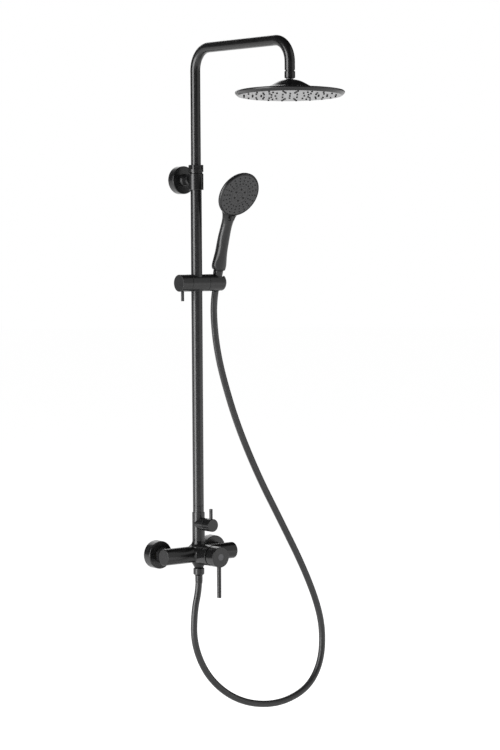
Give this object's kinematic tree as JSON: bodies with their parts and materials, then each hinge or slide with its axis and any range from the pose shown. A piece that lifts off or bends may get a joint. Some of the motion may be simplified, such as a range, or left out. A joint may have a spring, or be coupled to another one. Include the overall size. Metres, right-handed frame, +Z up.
{
  "type": "rainfall shower column",
  "caption": "Wall-mounted shower column: bar mixer with lever and diverter, telescopic riser with overhead rain head, sliding hand shower holder and hose.",
  "frame": {"origin": "on the finished wall, midway between the two water inlets", "axes": "+Z up, +X to the right along the wall, +Y into the wall, so the object stands out along -Y"},
  "size_m": [0.4681, 0.519, 1.4775],
  "materials": {
    "satin_black_metal": "satin black powder coat over brass and steel",
    "gloss_black_face": "smooth black spray face, glossier than the shell",
    "black_plastic": "satin black moulded plastic",
    "handset_face_plastic": "fine-textured dark grey plastic",
    "inner_plastic": "off-white or grey moulded plastic",
    "black_silicone": "soft matt silicone",
    "seal_rubber": "black rubber",
    "black_hose": "smooth satin black outer tube",
    "brass": "turned brass",
    "steel": "turned stainless steel",
    "index_metal": "plain satin grey disc"
  },
  "bodies": {
    "root": {"bracket_bolt": "brass", "bracket_rose": "satin_black_metal", "bracket_screws": "steel", "bracket_sleeve": "satin_black_metal", "bracket_spacer": "satin_black_metal", "bracket_wall_plate": "steel", "cartridge_cover": "black_plastic", "cartridge_nut": "brass", "check_valves": "inner_plastic", "diverter_cartridge": "inner_plastic", "diverter_nut": "brass", "hose": "black_hose", "hose_ferrule": "satin_black_metal", "hose_hex_nut": "satin_black_metal", "inlet_filters": "seal_rubber", "inlet_nuts": "satin_black_metal", "lower_riser_tube": "satin_black_metal", "mixer_body": "satin_black_metal", "mixer_cartridge": "inner_plastic", "riser_clamp_ring": "black_plastic", "riser_connector": "satin_black_metal", "riser_lock_nut": "satin_black_metal", "wall_flanges": "satin_black_metal", "wall_unions": "brass"},
    "riser_guide": {"riser_guide_bush": "inner_plastic", "riser_seal": "seal_rubber"},
    "arm": {"upper_riser_tube": "satin_black_metal", "arm_end_fitting": "satin_black_metal", "head_collar_nut": "satin_black_metal", "head_washer": "seal_rubber"},
    "ball_seat": {"ball_seat_ring": "black_plastic"},
    "head": {"head_ball_stud": "steel", "head_shell": "satin_black_metal", "head_gasket": "seal_rubber", "head_nozzle_mat": "black_silicone", "head_face_plate": "gloss_black_face"},
    "slider": {"slider_body": "black_plastic", "slider_bush": "black_plastic", "holder_pivot": "brass", "brake_shoe": "brass"},
    "lock": {"lock_knob": "black_plastic", "lock_pin": "satin_black_metal", "lock_spindle": "brass"},
    "holder": {"handset_holder": "black_plastic", "holder_insert": "black_plastic", "hose_cone_nut": "satin_black_metal"},
    "handset": {"handset_shell": "black_plastic", "spray_core": "inner_plastic", "handset_nozzle_mat": "black_silicone", "handset_face": "handset_face_plastic"},
    "selector": {"spray_selector": "black_plastic"},
    "mixer_stem": {"cartridge_stem": "inner_plastic"},
    "mixer_handle": {"cartridge_spindle": "brass", "mixer_handle": "satin_black_metal", "handle_pin": "satin_black_metal", "handle_grub_screw": "steel", "handle_index_disc": "index_metal"},
    "diverter": {"diverter_spindle": "brass", "diverter_knob": "satin_black_metal", "diverter_pin": "satin_black_metal"}
  },
  "joints": [
    {"name": "riser_height", "type": "slide", "parent": "root", "child": "riser_guide", "axis": [0, 0, 1], "range_m": [-0.19, 0.18]},
    {"name": "arm_swivel", "type": "hinge", "parent": "riser_guide", "child": "arm", "pos_m": [0, -0.06, 0.566], "axis": [0, 0, 1], "range_deg": [-60, 60]},
    {"name": "head_tilt_x", "type": "hinge", "parent": "arm", "child": "ball_seat", "pos_m": [0, -0.38, 1.024], "axis": [1, 0, 0], "range_deg": [-12, 12]},
    {"name": "head_tilt_y", "type": "hinge", "parent": "ball_seat", "child": "head", "pos_m": [0, -0.38, 1.024], "axis": [0, 1, 0], "range_deg": [-12, 12]},
    {"name": "slider_slide", "type": "slide", "parent": "root", "child": "slider", "axis": [0, 0, 1], "range_m": [-0.3, 0.17], "deforming": ["hose"]},
    {"name": "lock_turn", "type": "hinge", "parent": "slider", "child": "lock", "pos_m": [-0.03, -0.06, 0.595], "axis": [1, 0, 0], "range_deg": [-90, 90]},
    {"name": "holder_tilt", "type": "hinge", "parent": "slider", "child": "holder", "pos_m": [0.03, -0.06, 0.595], "axis": [-1, 0, 0], "range_deg": [-25, 5], "deforming": ["hose"]},
    {"name": "handset_turn", "type": "hinge", "parent": "holder", "child": "handset", "pos_m": [0.055, -0.06, 0.595], "axis": [0, -0.2419, 0.9703], "range_deg": [-30, 30]},
    {"name": "spray_select", "type": "hinge", "parent": "handset", "child": "selector", "pos_m": [0.055, -0.14355, 0.78462], "axis": [0, -0.8846, -0.4664], "range_deg": [-25, 25]},
    {"name": "mixer_temperature", "type": "hinge", "parent": "root", "child": "mixer_stem", "pos_m": [0, -0.1, 0], "axis": [0, 1, 0], "range_deg": [-50, 50]},
    {"name": "mixer_flow", "type": "hinge", "parent": "mixer_stem", "child": "mixer_handle", "pos_m": [0, -0.09, 0], "axis": [-1, 0, 0], "range_deg": [0, 12]},
    {"name": "diverter_turn", "type": "hinge", "parent": "root", "child": "diverter", "pos_m": [0, -0.09, 0.067], "axis": [0, 1, 0], "range_deg": [0, 90]}
  ]
}
